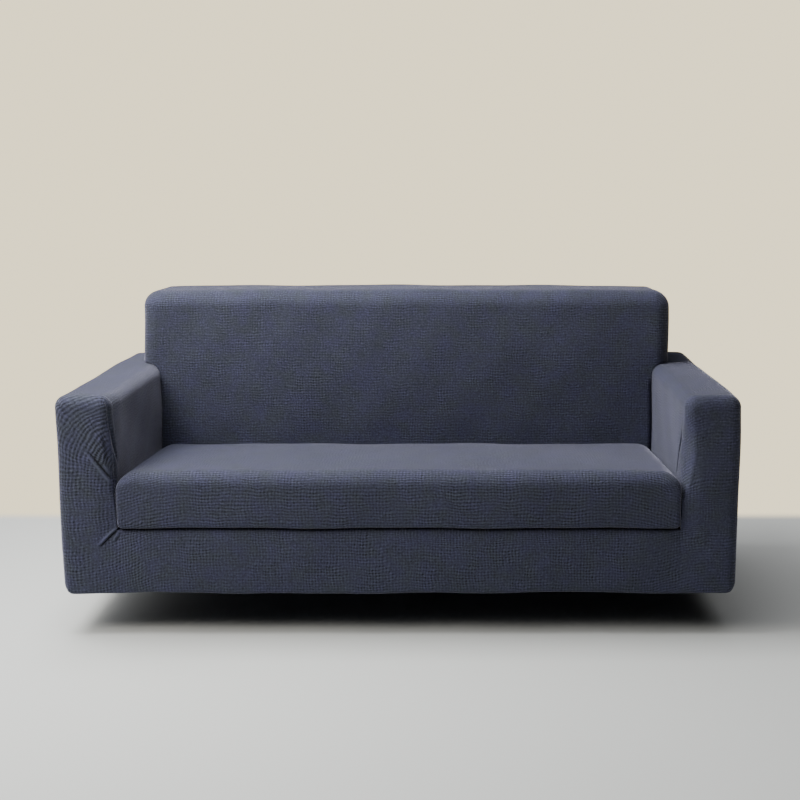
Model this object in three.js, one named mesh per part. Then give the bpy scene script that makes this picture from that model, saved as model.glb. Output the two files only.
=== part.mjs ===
// Sofa slipcover: a fitted cover of thin stretch knit for a two-seat sofa with box arms.
// Six sewn pieces: front, seat, inside back, outside back and two arm covers. Each piece is one
// closed sheet. The cover is hollow and open below, and its hem is turned under all round.
//
// Millimetres. The cover faces -Y, +X is the viewer's right, +Z is up. Inside this file Z = 0 is the
// turn of the hem and Y = 0 the front; the group at the end moves the origin under the top of the back.
//
// Every piece is drawn on square boxes first: a face, and borders that run back from its edges.
// "inset" is how far a point of the face lies inside the outline, "depth" how far a point of a
// border lies behind the face. soften() then rounds the corners of the outline and the edge of the face.

import * as THREE from "three";

// Cloth and sewing
const CLOTH_THICKNESS = 2;
const SEAM_GAP = 0.4;
const TUCK_SPACING = 3; // between the middles of two cloths that lie in one tuck
const SEAM_SETBACK = 40; // a seam lies this far round the corner from a front or rear face
const HEM_TURN = 40; // the hem is turned under the sofa by this much

// Form, to the middle of the cloth
const HALF_WIDTH = 898;
const FULL_DEPTH = 868;
const ARM_INNER = 748;
const ARM_TOP = 527;
const BASE_TOP = 171.5;
const SEAT_HALF_WIDTH = ARM_INNER - TUCK_SPACING;
const SEAT_BOTTOM = BASE_TOP + 4;
const SEAT_TOP = 328;
const SEAT_FRONT = -4;
const SEAT_REAR = 540;
const SEAT_FALL = 36; // the seat is lower at the back by this much
const TUCK_BOTTOM = 230; // where the cloth between seat, arm and back ends
const BACK_HALF_WIDTH = 801;
const BACK_TOP = 752;
const BACK_TOP_FALL = 4; // the top of the back falls to its rear by this much
const BACK_FOOT = 544; // front of the back at TUCK_BOTTOM
const BACK_LEAN = 0.117; // run over rise
const BACK_SIDE_TUCK = 40; // the cloth turns back by this much between the back and the arm
const ARM_INNER_END = 600; // the arm's inner cloth ends here, behind the front of the back
const SEAT_REAR_DROP = 60; // the cloth of the seat runs down by this much behind the seat
const MOUNT_DEPTH = 150; // from the front of the back to the middle of its top

// Roundings
const ARM_ROUND = 28;
const BASE_TOP_ROUND = 8;
const BACK_CORNER = 80;
const BACK_FRONT_ROUND = 45;
const BACK_LOWER_ROUND = 12;
const SEAT_TOP_CORNER = 50;
const SEAT_BOTTOM_CORNER = 14;
const SEAT_TOP_ROUND = 38;
const SEAT_SIDE_ROUND = 14;
const SEAT_BOTTOM_ROUND = 12;
const INSIDE_CORNER_FADE = 40; // an edge turns sharp over this length towards an inside corner

// Fullness: how far each face stands out where it is fullest
const ARM_FRONT_FULLNESS = 4;
const ARM_TOP_FULLNESS = 4;
const ARM_OUTER_FULLNESS = 1;
const BASE_FRONT_FULLNESS = 3;
const SEAT_FRONT_FULLNESS = 6;
const SEAT_TOP_FULLNESS = 12;
const BACK_FRONT_FULLNESS = 14;
const BACK_TOP_DROOP = 4; // the top line of the back is lower at its ends
const REAR_FULLNESS = 4;

// The seam on each arm's inner face slants back as it goes down.
const INNER_SEAM = [
  { height: 0, left: 95, right: 150 },
  { height: 171.5, left: 95, right: 150 },
  { height: 250, left: 80, right: 128 },
  { height: 306, left: 66, right: 109 },
  { height: 338, left: 55, right: 95 },
  { height: 425, left: 42, right: 60 },
  { height: 465, left: SEAM_SETBACK, right: 43 },
  { height: 499, left: SEAM_SETBACK, right: SEAM_SETBACK },
  { height: ARM_TOP, left: SEAM_SETBACK, right: SEAM_SETBACK },
];

// The front hem is a little uneven: where it hangs lower (drop > 0) or rides up.
const HEM_WAVES = [
  { x: -430, spread: 70, drop: 4 },
  { x: -80, spread: 70, drop: 3 },
  { x: 400, spread: 130, drop: -3 },
];

const KNIT = { color: 0x41455a, roughness: 0.92, metalness: 0 };
const OPEN = 1e5; // stands for a side with no edge
const SEAM_LINE = 1e3; // stands for the depth of the rear seam, which changes with the height
const NARROWEST_CELL = 10;

const clamp = THREE.MathUtils.clamp;
const between = (value, low, high) => low + (high - low) * value;
const halfway = (low, high) => between(0.5, low, high);
const smooth = (value) => THREE.MathUtils.smoothstep(value, 0, 1);
const bump = (value) => 1 - value ** 2; // 1 in the middle, 0 at -1 and 1

// Lines across a span: rounded ends get lines at the given insets, the middle is cut evenly.
function lines(from, to, fromInsets, toInsets, middleCells) {
  const start = from + fromInsets.at(-1);
  const end = to - toInsets.at(-1);
  const middle = [];
  for (let i = 1; i < middleCells; i++) {
    middle.push(between(i / middleCells, start, end));
  }
  const starts = fromInsets.map((inset) => from + inset);
  const ends = toInsets.map((inset) => to - inset).reverse();
  return [...starts, ...middle, ...ends];
}

const mirrored = (half) => [...half.map((x) => -x).reverse(), ...half];

// Two-cell rounding: lines at the edge, halfway round and at the end of the round.
const turn = (radius) => [0, radius * 0.56, radius];

// ---- Sheets ----

// A sheet is drawn as patches of quads on box points; patches that share points are one cloth.
class Sheet {
  constructor() {
    this.points = [];
    this.found = new Map();
    this.quads = [];
  }

  vertex(point) {
    const key = point.map((value) => Math.round(value * 1000)).join();
    if (!this.found.has(key)) {
      this.found.set(key, this.points.length);
      this.points.push(point);
    }
    return this.found.get(key);
  }

  // place(u, v) gives the box point; the outside is on the side of du x dv, or the other if flipped.
  patch(uLines, vLines, place, { flipped = false, keep = () => true } = {}) {
    for (let i = 0; i + 1 < uLines.length; i++) {
      for (let j = 0; j + 1 < vLines.length; j++) {
        const middleU = halfway(uLines[i], uLines[i + 1]);
        const middleV = halfway(vLines[j], vLines[j + 1]);
        if (!keep(middleU, middleV)) continue;
        const quad = [
          this.vertex(place(uLines[i], vLines[j])),
          this.vertex(place(uLines[i + 1], vLines[j])),
          this.vertex(place(uLines[i + 1], vLines[j + 1])),
          this.vertex(place(uLines[i], vLines[j + 1])),
        ];
        this.quads.push(flipped ? quad.reverse() : quad);
      }
    }
  }

  // The closed solid: both sides of the cloth and its cut edge. form() turns a box point into
  // a point on the middle of the cloth.
  solid(name, form) {
    const middle = this.points.map((point) => new THREE.Vector3(...form(...point)));
    const triangles = this.quads.flatMap(([a, b, c, d]) => [[a, b, c], [a, c, d]]);
    const faceNormals = triangles.map(([a, b, c]) => {
      const ab = middle[b].clone().sub(middle[a]);
      const ac = middle[c].clone().sub(middle[a]);
      return ab.cross(ac);
    });
    const normals = middle.map(() => new THREE.Vector3());
    triangles.forEach((triangle, i) => {
      for (const corner of triangle) normals[corner].add(faceNormals[i]);
    });
    const count = middle.length;
    const positions = [];
    for (const offset of [CLOTH_THICKNESS / 2, -CLOTH_THICKNESS / 2]) {
      middle.forEach((point, i) => {
        const outward = normals[i].clone().normalize();
        positions.push(...point.clone().addScaledVector(outward, offset).toArray());
      });
    }
    const index = [];
    for (const [a, b, c] of triangles) {
      index.push(a, b, c, a + count, c + count, b + count);
    }
    for (const [a, b] of this.rim()) {
      index.push(b, a, a + count, b, a + count, b + count);
    }
    const geometry = new THREE.BufferGeometry();
    geometry.setAttribute("position", new THREE.Float32BufferAttribute(positions, 3));
    geometry.setIndex(index);
    const mesh = new THREE.Mesh(geometry, new THREE.MeshStandardMaterial(KNIT));
    mesh.name = name;
    return mesh;
  }

  // Edges that belong to one quad only, in that quad's direction.
  rim() {
    const edges = new Map();
    for (const quad of this.quads) {
      quad.forEach((a, i) => {
        const b = quad[(i + 1) % 4];
        if (!edges.delete(`${b},${a}`)) edges.set(`${a},${b}`, [a, b]);
      });
    }
    return edges.values();
  }
}

// ---- Rounding ----

// Moves a box point onto the same box with round corners and a round edge. region holds left,
// right, bottom, top, corner and edge; the result is [x, depth, z].
function soften(x, depth, z, region) {
  const { left, right, bottom, top, corner } = region;
  const edge = Math.min(Math.max(region.edge, 0.01), corner);
  const inset = Math.min(x - left, right - x, z - bottom, top - z);
  const angle = (Math.PI / 4) * (1 + clamp((depth - inset) / edge, -1, 1));
  const newInset = edge * (1 - Math.sin(angle)) + Math.max(0, inset - edge);
  const newDepth = edge * (1 - Math.cos(angle)) + Math.max(0, depth - edge);
  const centreX = clamp(x, left + corner, right - corner);
  const centreZ = clamp(z, bottom + corner, top - corner);
  const away = Math.hypot(x - centreX, z - centreZ);
  if (away === 0) return [x, newDepth, z];
  const reach = (corner - newInset) / away;
  return [centreX + (x - centreX) * reach, newDepth, centreZ + (z - centreZ) * reach];
}

// ---- Form of the arms and the base ----

function innerSeam(z, side) {
  const column = side < 0 ? "left" : "right";
  const above = INNER_SEAM.findIndex((row) => row.height >= z - 0.001);
  if (above < 1) return INNER_SEAM[0][column];
  const low = INNER_SEAM[above - 1];
  const high = INNER_SEAM[above];
  return between((z - low.height) / (high.height - low.height), low[column], high[column]);
}

function hemDrop(x) {
  const drops = HEM_WAVES.map((wave) => wave.drop * Math.exp(-(((x - wave.x) / wave.spread) ** 2)));
  return drops.reduce((sum, drop) => sum + drop, 0);
}

// The arm seen from the front, in distances from the middle of the sofa.
function armRegion(across, z) {
  const nearInside = across < (ARM_INNER + HALF_WIDTH) / 2 && z >= BASE_TOP;
  const fade = nearInside ? smooth((z - BASE_TOP) / INSIDE_CORNER_FADE) : 1;
  return {
    left: z >= BASE_TOP ? ARM_INNER : -OPEN,
    right: HALF_WIDTH,
    bottom: 0,
    top: ARM_TOP,
    corner: ARM_ROUND,
    edge: ARM_ROUND * fade,
  };
}

function baseRegion(across, z) {
  const fade = smooth((ARM_INNER - across) / INSIDE_CORNER_FADE);
  return {
    left: -OPEN,
    right: OPEN,
    bottom: 0,
    top: BASE_TOP,
    corner: ARM_ROUND,
    edge: z > BASE_TOP / 2 ? BASE_TOP_ROUND * fade : ARM_ROUND,
  };
}

// The arm's faces stand out a little: front, top and outer side.
function fillArm(x, y, z, side) {
  const across = Math.abs(x);
  const acrossArm = (2 * across - ARM_INNER - HALF_WIDTH) / (HALF_WIDTH - ARM_INNER);
  const upArm = (2 * z - ARM_TOP) / ARM_TOP;
  const crown = clamp(bump(acrossArm), 0, 1);
  const height = clamp(bump(upArm), 0, 1);
  const onTop = smooth((z - ARM_TOP + ARM_ROUND) / ARM_ROUND);
  const onOuter = smooth((across - HALF_WIDTH + ARM_ROUND) / ARM_ROUND);
  const onFront = 1 - smooth(y / ARM_ROUND);
  return [
    x + side * ARM_OUTER_FULLNESS * height * onOuter,
    y - ARM_FRONT_FULLNESS * crown * height * onFront,
    z + ARM_TOP_FULLNESS * crown * onTop,
  ];
}

// Front and arms: a box point at this depth behind the front.
function frontForm(x, depth, z) {
  const across = Math.abs(x);
  const side = Math.sign(x) || 1;
  const hem = hemDrop(x) * (1 - smooth(z / BASE_TOP)) * (1 - smooth(depth / FULL_DEPTH));
  if (across >= ARM_INNER) {
    const [newAcross, y, newZ] = soften(across, depth, z, armRegion(across, z));
    const filled = fillArm(side * newAcross, y, newZ, side);
    return [filled[0], filled[1], filled[2] - hem];
  }
  const [newX, y, newZ] = soften(x, depth, z, baseRegion(across, z));
  const front = clamp(bump((2 * z - BASE_TOP) / BASE_TOP), 0, 1) * (1 - smooth(depth / ARM_ROUND));
  const ends = clamp(bump(across / ARM_INNER) * 4, 0, 1);
  return [newX, y - BASE_FRONT_FULLNESS * front * ends, newZ - hem];
}

// ---- Form of the back ----

const backFace = (z) => BACK_FOOT + BACK_LEAN * (z - TUCK_BOTTOM);
const rearSeam = FULL_DEPTH - SEAM_SETBACK;

// The side of the back stands on the arm: this is the height of its lower edge, one tuck spacing
// above the arm's cloth, over the arm's inner round and along its top.
const LEDGE = ARM_TOP - ARM_ROUND;
const LEDGE_INSETS = [0, 4, 13]; // the arm's inner round is steepest at its start
function ledgeHeight(across) {
  const radius = ARM_ROUND + TUCK_SPACING;
  const run = clamp(ARM_INNER + ARM_ROUND - across, 0, radius);
  const height = LEDGE + Math.sqrt(radius ** 2 - run ** 2);
  return fillArm(across, FULL_DEPTH / 2, height, 1)[2];
}

// The top of the back falls towards its rear and droops at its ends.
function settleBackTop(x, z, share) {
  const foot = ARM_TOP;
  const height = clamp((z - foot) / (BACK_TOP - foot), 0, 1);
  const droop = BACK_TOP_DROOP * (x / BACK_HALF_WIDTH) ** 2;
  return z - height * (droop + BACK_TOP_FALL * share);
}

function insideBackForm(x, depth, z) {
  const across = Math.abs(x);
  const side = Math.sign(x) || 1;
  const lower = z <= LEDGE;
  const fade = smooth((LEDGE - z) / INSIDE_CORNER_FADE);
  const region = lower
    ? { left: -OPEN, right: SEAT_HALF_WIDTH, bottom: -OPEN, top: OPEN,
        corner: BACK_LOWER_ROUND, edge: BACK_LOWER_ROUND * fade }
    : { left: -OPEN, right: BACK_HALF_WIDTH, bottom: -OPEN, top: BACK_TOP,
        corner: BACK_CORNER, edge: BACK_FRONT_ROUND };
  const [newAcross, newDepth, newZ] = soften(across, depth, z, region);
  const width = bump(across / BACK_HALF_WIDTH);
  const rise = bump((2 * z - BACK_TOP - TUCK_BOTTOM) / (BACK_TOP - TUCK_BOTTOM));
  const full = BACK_FRONT_FULLNESS * clamp(width, 0, 1) * clamp(rise, 0, 1);
  const toSeam = rearSeam - backFace(z);
  const share = smooth((depth - BACK_FRONT_ROUND) / (toSeam - BACK_FRONT_ROUND));
  const y = backFace(z) + newDepth - full * (1 - smooth(depth / BACK_FRONT_ROUND));
  return [side * newAcross, y, settleBackTop(x, newZ, share)];
}

// The rear face, with depth counted forward from it.
function outsideBackForm(x, depth, z) {
  const across = Math.abs(x);
  const side = Math.sign(x) || 1;
  const upper = z > ARM_TOP || (z === ARM_TOP && across <= BACK_HALF_WIDTH);
  const besideArm = across > BACK_HALF_WIDTH && z > ARM_TOP / 2;
  const upFade = smooth((z - ARM_TOP) / INSIDE_CORNER_FADE);
  const sideFade = besideArm ? smooth((across - BACK_HALF_WIDTH) / INSIDE_CORNER_FADE) : 1;
  const region = upper
    ? { left: -OPEN, right: BACK_HALF_WIDTH, bottom: -OPEN, top: BACK_TOP,
        corner: BACK_CORNER, edge: ARM_ROUND * (across > BACK_HALF_WIDTH / 2 ? upFade : 1) }
    : { left: -OPEN, right: HALF_WIDTH, bottom: 0, top: across > BACK_HALF_WIDTH ? ARM_TOP : OPEN,
        corner: ARM_ROUND, edge: ARM_ROUND * sideFade };
  const [newAcross, newDepth, newZ] = soften(across, depth, z, region);
  const width = bump(across / HALF_WIDTH);
  const rise = bump((2 * z - BACK_TOP) / BACK_TOP);
  const full = REAR_FULLNESS * clamp(width, 0, 1) * clamp(rise, 0, 1) * (1 - smooth(depth / ARM_ROUND));
  const settled = settleBackTop(clamp(x, -BACK_HALF_WIDTH, BACK_HALF_WIDTH), newZ, 1);
  if (across >= BACK_HALF_WIDTH && !upper) {
    const [filledX, , filledZ] = fillArm(side * newAcross, FULL_DEPTH, newZ, side);
    return [filledX, FULL_DEPTH - newDepth + full, filledZ];
  }
  return [side * newAcross, FULL_DEPTH - newDepth + full, upper ? settled : newZ];
}

// ---- Form of the seat ----

// depth runs back over the seat and then down into the tuck behind it.
function seatForm(x, depth, z) {
  const topHalf = z > (SEAT_TOP + SEAT_BOTTOM) / 2;
  const corner = topHalf ? SEAT_TOP_CORNER : SEAT_BOTTOM_CORNER;
  const sides = { left: -SEAT_HALF_WIDTH, right: SEAT_HALF_WIDTH };
  const upwards = topHalf ? SEAT_TOP - z : z - SEAT_BOTTOM;
  const sideways = SEAT_HALF_WIDTH - Math.abs(x);
  const onLevel = smooth(0.5 + (sideways - upwards) / (2 * corner));
  const levelRound = topHalf ? SEAT_TOP_ROUND : SEAT_BOTTOM_ROUND;
  const edge = between(onLevel, SEAT_SIDE_ROUND, levelRound);
  const region = { ...sides, bottom: SEAT_BOTTOM, top: SEAT_TOP, corner, edge };
  const [newX, newDepth, newZ] = soften(x, depth, z, region);

  const length = SEAT_REAR - SEAT_FRONT;
  const bend = SEAT_BOTTOM_ROUND;
  const over = newDepth - (length - bend);
  const bendAngle = clamp(over / bend, 0, Math.PI / 2);
  const y = SEAT_FRONT + Math.min(newDepth, length - bend) + bend * Math.sin(bendAngle);
  const down = bend * (1 - Math.cos(bendAngle)) + Math.max(0, over - (bend * Math.PI) / 2);

  const along = clamp(newDepth / length, 0, 1);
  const height = clamp((newZ - SEAT_BOTTOM) / (SEAT_TOP - SEAT_BOTTOM), 0, 1);
  const wide = clamp(bump((x / SEAT_HALF_WIDTH) ** 2), 0, 1);
  const crown = SEAT_TOP_FULLNESS * wide * bump(2 * along - 1);
  const level = height * (crown - SEAT_FALL * along) - down;
  const rise = clamp(bump(2 * height - 1), 0, 1);
  const full = SEAT_FRONT_FULLNESS * wide * rise * (1 - smooth(depth / SEAT_TOP_ROUND));
  return [newX, y - full, newZ + level];
}

// ---- Pieces ----

const insideCorner = [0, INSIDE_CORNER_FADE / 2, INSIDE_CORNER_FADE];
const backCorner = [...turn(BACK_FRONT_ROUND), BACK_CORNER];
const armAcross = lines(ARM_INNER, HALF_WIDTH, turn(ARM_ROUND), turn(ARM_ROUND), 2);
const armHeights = [
  ...lines(0, BASE_TOP, turn(ARM_ROUND), turn(BASE_TOP_ROUND), 2),
  ...lines(BASE_TOP, ARM_TOP, insideCorner, turn(ARM_ROUND), 4).slice(1),
];
const baseHeights = armHeights.filter((z) => z <= BASE_TOP);
const innerHeights = armHeights.filter((z) => z >= BASE_TOP);
const baseAcross = mirrored(lines(0, ARM_INNER, [0], [0, INSIDE_CORNER_FADE], 7).slice(1));
const frontDepths = [...turn(ARM_ROUND), SEAM_SETBACK];

// Arm fronts and base front in one piece, turned round every edge to its seams.
function makeFront() {
  const sheet = new Sheet();
  sheet.patch(baseAcross, baseHeights, (x, z) => [x, 0, z]);
  sheet.patch(baseAcross, [...turn(BASE_TOP_ROUND), SEAM_SETBACK], (x, depth) => [x, depth, BASE_TOP]);
  sheet.patch(baseAcross, frontDepths, (x, depth) => [x, depth, 0], { flipped: true });
  for (const side of [-1, 1]) {
    const flipped = side < 0;
    const toSeam = (depth, z) => (depth === SEAM_SETBACK ? innerSeam(z, side) : depth);
    sheet.patch(armAcross, armHeights, (x, z) => [side * x, 0, z], { flipped });
    sheet.patch(armAcross, frontDepths, (x, depth) => [side * x, depth, ARM_TOP], { flipped });
    sheet.patch(armAcross, frontDepths, (x, depth) => [side * x, depth, 0], { flipped: !flipped });
    sheet.patch(frontDepths, armHeights, (depth, z) => [side * HALF_WIDTH, depth, z], { flipped });
    sheet.patch(frontDepths, innerHeights, (depth, z) => [side * ARM_INNER, toSeam(depth, z), z], {
      flipped: !flipped,
    });
  }
  return sheet.solid("front_panel", frontForm);
}

// One arm: inner face, top, outer face and hem, from the front seam to the rear seam.
function makeArm(name, side) {
  const sheet = new Sheet();
  const flipped = side < 0;
  const frontEdge = SEAM_SETBACK + SEAM_GAP;
  const rearEdge = rearSeam - SEAM_GAP;
  const depths = [
    ...lines(frontEdge, ARM_INNER_END, [0], [0], 5),
    ...lines(ARM_INNER_END, rearEdge, [0], [0], 2).slice(1),
  ];
  const tuckHeights = [TUCK_BOTTOM, ...innerHeights.filter((z) => z > TUCK_BOTTOM + NARROWEST_CELL)];
  const hemAcross = [...turn(ARM_ROUND), HEM_TURN].map((inset) => HALF_WIDTH - inset).reverse();
  const startAt = (depth, z) => (depth === frontEdge ? innerSeam(z, side) + SEAM_GAP : depth);
  const topAcross = [...armAcross, BACK_HALF_WIDTH].sort((a, b) => a - b);
  const underBack = ARM_INNER + ARM_ROUND; // the top cloth starts here where the back stands on it
  const past = (depth) => depth > ARM_INNER_END;
  sheet.patch(depths, tuckHeights, (depth, z) => [side * ARM_INNER, startAt(depth, z), z], {
    flipped: !flipped,
    keep: (depth) => !past(depth),
  });
  sheet.patch(topAcross, depths, (x, depth) => [side * x, depth, ARM_TOP], {
    flipped,
    keep: (x, depth) => !past(depth) || x > underBack,
  });
  sheet.patch(depths, armHeights, (depth, z) => [side * HALF_WIDTH, depth, z], { flipped });
  sheet.patch(hemAcross, depths, (x, depth) => [side * x, depth, 0], { flipped: !flipped });
  return sheet.solid(name, frontForm);
}

// Seat: its top, front and sides, turned under in front and down into the tucks.
function makeSeat() {
  const sheet = new Sheet();
  const outerTurn = [...turn(SEAT_SIDE_ROUND), halfway(SEAT_SIDE_ROUND, SEAT_TOP_ROUND)];
  const acrossInsets = [...outerTurn, SEAT_TOP_CORNER];
  const xs = lines(-SEAT_HALF_WIDTH, SEAT_HALF_WIDTH, acrossInsets, acrossInsets, 6);
  const topInsets = [0, SEAT_TOP_ROUND / 3, (2 * SEAT_TOP_ROUND) / 3, SEAT_TOP_ROUND, SEAT_TOP_CORNER];
  const heights = [
    ...turn(SEAT_BOTTOM_ROUND).map((inset) => SEAT_BOTTOM + inset),
    ...lines(TUCK_BOTTOM, SEAT_TOP, [0], topInsets, 1),
  ];
  const bendStart = SEAT_REAR - SEAT_FRONT - SEAT_BOTTOM_ROUND;
  const bendLength = (SEAT_BOTTOM_ROUND * Math.PI) / 2;
  const depths = lines(0, bendStart, [...outerTurn, SEAT_TOP_ROUND], [0], 5);
  const bendEnd = bendStart + bendLength;
  const topDepths = [...depths, bendStart + bendLength / 2, bendEnd, bendEnd + SEAT_REAR_DROP];
  const underDepths = [...turn(SEAT_BOTTOM_ROUND), SEAM_SETBACK];
  sheet.patch(xs, heights, (x, z) => [x, 0, z]);
  sheet.patch(xs, underDepths, (x, depth) => [x, depth, SEAT_BOTTOM], { flipped: true });
  sheet.patch(xs, topDepths, (x, depth) => [x, depth, SEAT_TOP]);
  for (const side of [-1, 1]) {
    sheet.patch(depths, heights, (depth, z) => [side * SEAT_HALF_WIDTH, depth, z], {
      flipped: side < 0,
      keep: (depth, z) => z > TUCK_BOTTOM || depth < SEAT_TOP_ROUND,
    });
  }
  return sheet.solid("seat_panel", seatForm);
}

// Inside back: its front, and the border over its top and sides to the rear seam.
function makeInsideBack() {
  const sheet = new Sheet();
  const lowerAcross = lines(0, SEAT_HALF_WIDTH, [0], turn(BACK_LOWER_ROUND), 5).slice(1);
  const ledgeAcross = lines(SEAT_HALF_WIDTH, BACK_HALF_WIDTH, LEDGE_INSETS, [0], 2);
  const lowerHeights = lines(TUCK_BOTTOM, LEDGE, [0], [0, INSIDE_CORNER_FADE], 3);
  const upperHeights = lines(LEDGE, BACK_TOP, [0], backCorner, 3);
  const heights = [...lowerHeights, ...upperHeights.slice(1)];
  const toSeam = (depth, z) => (depth === SEAM_LINE ? rearSeam - SEAM_GAP - backFace(z) : depth);
  const stand = (across, z) => (z === LEDGE ? ledgeHeight(across) : z);
  const borderDepths = [...turn(BACK_FRONT_ROUND), MOUNT_DEPTH, SEAM_LINE];
  const tuckDepths = [...turn(BACK_LOWER_ROUND), BACK_SIDE_TUCK];

  sheet.patch(mirrored(lowerAcross), heights, (x, z) => [x, 0, z]);
  sheet.patch(mirrored([...lowerAcross, ...ledgeAcross.slice(1)]), borderDepths, (x, depth) => [
    x,
    toSeam(depth, BACK_TOP),
    BACK_TOP,
  ]);
  for (const side of [-1, 1]) {
    const flipped = side < 0;
    sheet.patch(ledgeAcross, upperHeights, (x, z) => [side * x, 0, stand(x, z)], { flipped });
    const besideBack = (depth, z) => {
      const height = stand(BACK_HALF_WIDTH, z);
      return [side * BACK_HALF_WIDTH, toSeam(depth, height), height];
    };
    sheet.patch(borderDepths, upperHeights, besideBack, { flipped });
    sheet.patch(tuckDepths, lowerHeights, (depth, z) => [side * SEAT_HALF_WIDTH, depth, z], { flipped });
  }
  return sheet.solid("inside_back", insideBackForm);
}

// Outside back: the rear of the back and of both arms, turned round every edge to its seams.
function makeOutsideBack() {
  const sheet = new Sheet();
  const besideBack = insideCorner.map((inset) => BACK_HALF_WIDTH + inset);
  const outer = turn(ARM_ROUND).map((inset) => HALF_WIDTH - inset).reverse();
  const armXs = [...besideBack, ...outer];
  const backXs = lines(0, BACK_HALF_WIDTH, [0], backCorner, 3).slice(1);
  const allXs = mirrored([...backXs, ...armXs.slice(1)]);
  const armZs = lines(0, ARM_TOP, turn(ARM_ROUND), turn(ARM_ROUND), 3);
  const backZs = lines(ARM_TOP, BACK_TOP, insideCorner, backCorner, 2);
  const depths = frontDepths;
  const rear = (x, z) => [x, 0, z];
  sheet.patch(allXs, armZs, rear, { flipped: true });
  sheet.patch(mirrored(backXs), backZs, rear, { flipped: true });
  sheet.patch(mirrored(backXs), depths, (x, depth) => [x, depth, BACK_TOP], { flipped: true });
  sheet.patch(allXs, depths, (x, depth) => [x, depth, 0]);
  for (const side of [-1, 1]) {
    const flipped = side > 0;
    sheet.patch(depths, armZs, (depth, z) => [side * HALF_WIDTH, depth, z], { flipped });
    sheet.patch(armXs, depths, (x, depth) => [side * x, depth, ARM_TOP], { flipped });
    sheet.patch(depths, backZs, (depth, z) => [side * BACK_HALF_WIDTH, depth, z], { flipped });
  }
  return sheet.solid("outside_back", outsideBackForm);
}

// ---- Slipcover ----

const slipcover = new THREE.Group();
slipcover.name = "sofa_slipcover";
const body = new THREE.Group();
body.add(
  makeFront(),
  makeSeat(),
  makeInsideBack(),
  makeOutsideBack(),
  makeArm("arm_left", -1),
  makeArm("arm_right", 1),
);

// The origin is on the underside of the cloth, in the middle of the top of the back.
const [mountX, mountY, mountZ] = insideBackForm(0, MOUNT_DEPTH, BACK_TOP);
body.position.set(-mountX, -mountY, CLOTH_THICKNESS / 2 - mountZ);
slipcover.add(body);

export default slipcover;
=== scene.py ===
"""Looks of a sofa slipcover: six sewn sheets of stretch knit, with their folds, seams and weave.

Lengths are millimetres, with Z = 0 at the hem and Y = 0 at the front, until a mesh is made in metres
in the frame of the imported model. Each sheet is drawn on square boxes, as in the model, but much finer:
a face, and borders that run back from its edges. "inset" is how far a point of the face lies inside
the outline, and "depth" how far a point of a border lies behind the face.
"""

import math

import bpy
import numpy as np
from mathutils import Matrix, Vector
from mathutils.kdtree import KDTree


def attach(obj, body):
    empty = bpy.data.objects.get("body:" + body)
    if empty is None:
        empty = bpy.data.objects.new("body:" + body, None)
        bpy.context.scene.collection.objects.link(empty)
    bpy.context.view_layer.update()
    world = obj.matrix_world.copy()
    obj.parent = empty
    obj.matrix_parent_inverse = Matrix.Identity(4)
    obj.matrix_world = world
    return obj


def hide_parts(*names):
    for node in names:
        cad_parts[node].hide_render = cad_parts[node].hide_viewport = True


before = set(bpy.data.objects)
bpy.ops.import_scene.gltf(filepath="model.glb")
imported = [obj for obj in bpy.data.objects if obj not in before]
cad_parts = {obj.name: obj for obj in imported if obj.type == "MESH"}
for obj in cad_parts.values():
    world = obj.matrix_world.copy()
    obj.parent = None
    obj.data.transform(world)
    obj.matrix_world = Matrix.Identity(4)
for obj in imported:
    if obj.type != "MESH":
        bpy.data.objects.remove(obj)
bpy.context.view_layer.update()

# ---- Sizes: the model's own, apart from those whose comment says otherwise ----

CLOTH_THICKNESS = 2
SEAM_GAP = 0.4
TUCK_SPACING = 3
SEAM_SETBACK = 40
HEM_TURN = 40

HALF_WIDTH = 898
FULL_DEPTH = 868
ARM_INNER = 748
ARM_TOP = 527
BASE_TOP = 171.5
SEAT_HALF_WIDTH = ARM_INNER - TUCK_SPACING
SEAT_BOTTOM = BASE_TOP + 6  # 2 more than in the model, so that the line below the seat shows
SEAT_TOP = 328
SEAT_FRONT = -4
SEAT_REAR = 540
SEAT_FALL = 36
TUCK_BOTTOM = 230
BACK_HALF_WIDTH = 801
BACK_TOP = 752
BACK_TOP_FALL = 4
BACK_FOOT = 544
BACK_LEAN = 0.117
BACK_SIDE_TUCK = 40
ARM_INNER_END = 600
SEAT_REAR_DROP = 60
MOUNT_DEPTH = 150

ARM_ROUND = 28
HEM_ROUND = 9  # the model rounds its hem by ARM_ROUND
BASE_TOP_ROUND = 16  # 8 in the model
BACK_CORNER = 48  # 80 in the model
BACK_FRONT_ROUND = 45
BACK_LOWER_ROUND = 12
SEAT_TOP_CORNER = 50
SEAT_BOTTOM_CORNER = 13  # 14 in the model
SEAT_TOP_ROUND = 38
SEAT_SIDE_ROUND = 14
SEAT_BOTTOM_ROUND = 13  # 12 in the model
INSIDE_CORNER_FADE = 40
ARM_INNER_FADE = 230  # the arm's front edge beside the seat grows round over this height, 40 in the model

ARM_FRONT_FULLNESS = 4
ARM_TOP_FULLNESS = 4
ARM_OUTER_FULLNESS = 1
BASE_FRONT_FULLNESS = 3
SEAT_FRONT_FULLNESS = 6
SEAT_TOP_FULLNESS = 12
BACK_FRONT_FULLNESS = 14
BACK_TOP_DROOP = 4
REAR_FULLNESS = 4

LEDGE = ARM_TOP - ARM_ROUND
REAR_SEAM = FULL_DEPTH - SEAM_SETBACK

# The seam on each arm's inner face slants back as it goes down: rows of height, left, right.
INNER_SEAM = np.array([
    (0, 95, 150),
    (BASE_TOP, 95, 150),
    (250, 80, 128),
    (306, 66, 109),
    (338, 55, 95),
    (425, 42, 60),
    (465, SEAM_SETBACK, 43),
    (499, SEAM_SETBACK, SEAM_SETBACK),
])

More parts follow.
